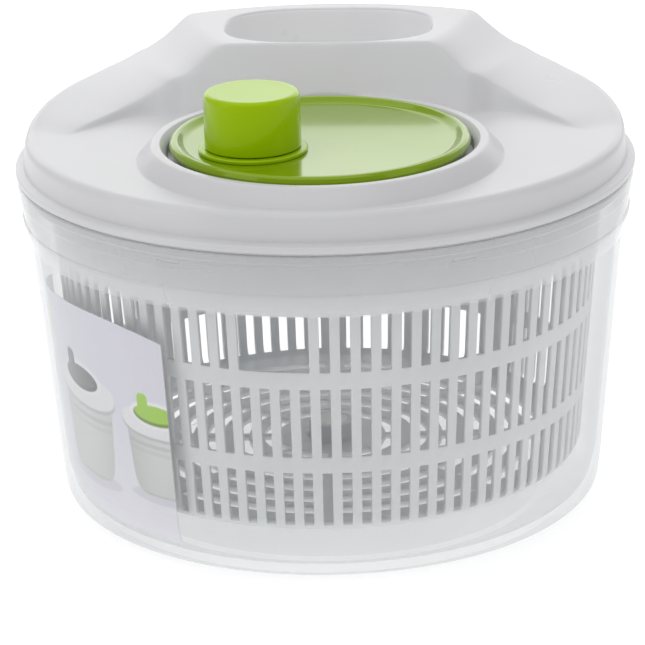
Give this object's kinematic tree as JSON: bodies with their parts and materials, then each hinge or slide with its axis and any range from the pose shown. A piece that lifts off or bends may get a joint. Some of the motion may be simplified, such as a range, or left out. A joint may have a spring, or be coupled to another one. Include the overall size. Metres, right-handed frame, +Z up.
{
  "type": "salad spinner",
  "caption": "Crank salad spinner: clear round bowl, slotted milky basket, white lid with a raised rear handle and recess, and a green crank disc with an off-centre knob.",
  "frame": {"origin": "centre of the bowl's base, on the surface it stands on", "axes": "+Z up along the basket's axis; -Y towards the user and the crank; +Y towards the handle; +X to the right"},
  "size_m": [0.244, 0.244, 0.1788],
  "materials": {
    "bowl_clear": "clear, polished",
    "pin_steel": "turned",
    "card_paper": "coated, printed",
    "basket_frosted": "milky, semi-gloss",
    "lid_white": "milky white, satin gloss",
    "cover_white": "satin",
    "bearing_plastic": "natural acetal",
    "gear_plastic": "natural acetal",
    "crank_green": "glossy lime green",
    "knob_green": "glossy lime green",
    "screw_steel": "zinc plated",
    "spindle_steel": "drawn hexagon bar",
    "drive_white": "satin gloss"
  },
  "bodies": {
    "bowl": {"bowl": "bowl_clear", "pivot_pin": "pin_steel", "paper_card": "card_paper"},
    "basket": {"basket": "basket_frosted", "basket_bush": "bearing_plastic"},
    "lid": {"lid_shell": "lid_white", "gear_cover": "cover_white", "cover_screws": "screw_steel", "crank_bush": "bearing_plastic", "upper_bush": "bearing_plastic", "lower_bush": "bearing_plastic"},
    "crank": {"crank_disc": "crank_green", "crank_gear": "gear_plastic", "crank_washer": "screw_steel", "crank_screw": "screw_steel", "knob_collar": "knob_green"},
    "knob": {"knob": "knob_green", "knob_washer": "screw_steel", "knob_screw": "screw_steel"},
    "driver": {"pinion": "gear_plastic", "drive_spindle": "spindle_steel", "drive_plate": "drive_white", "drive_washer": "screw_steel", "drive_screw": "screw_steel"}
  },
  "joints": [
    {"name": "lid_lift", "type": "slide", "parent": "bowl", "child": "lid", "axis": [0, 0, 1], "range_m": [0, 0.3]},
    {"name": "driver_spin", "type": "hinge", "parent": "lid", "child": "driver", "pos_m": [0, 0, 0.13], "axis": [0, 0, 1], "continuous": true},
    {"name": "crank_spin", "type": "hinge", "parent": "lid", "child": "crank", "pos_m": [0, -0.042, 0.15], "axis": [0, 0, 1], "continuous": true},
    {"name": "knob_spin", "type": "hinge", "parent": "crank", "child": "knob", "pos_m": [-0.0248, -0.0547, 0.16], "axis": [0, 0, 1], "continuous": true},
    {"name": "basket_release", "type": "slide", "parent": "driver", "child": "basket", "axis": [0, 0, 1], "range_m": [-0.15, 0]}
  ],
  "couplings": [
    {"joint": "crank_spin", "follows": "driver_spin", "ratio": -0.33333},
    {"joint": "basket_release", "follows": "lid_lift", "ratio": -0.5}
  ]
}
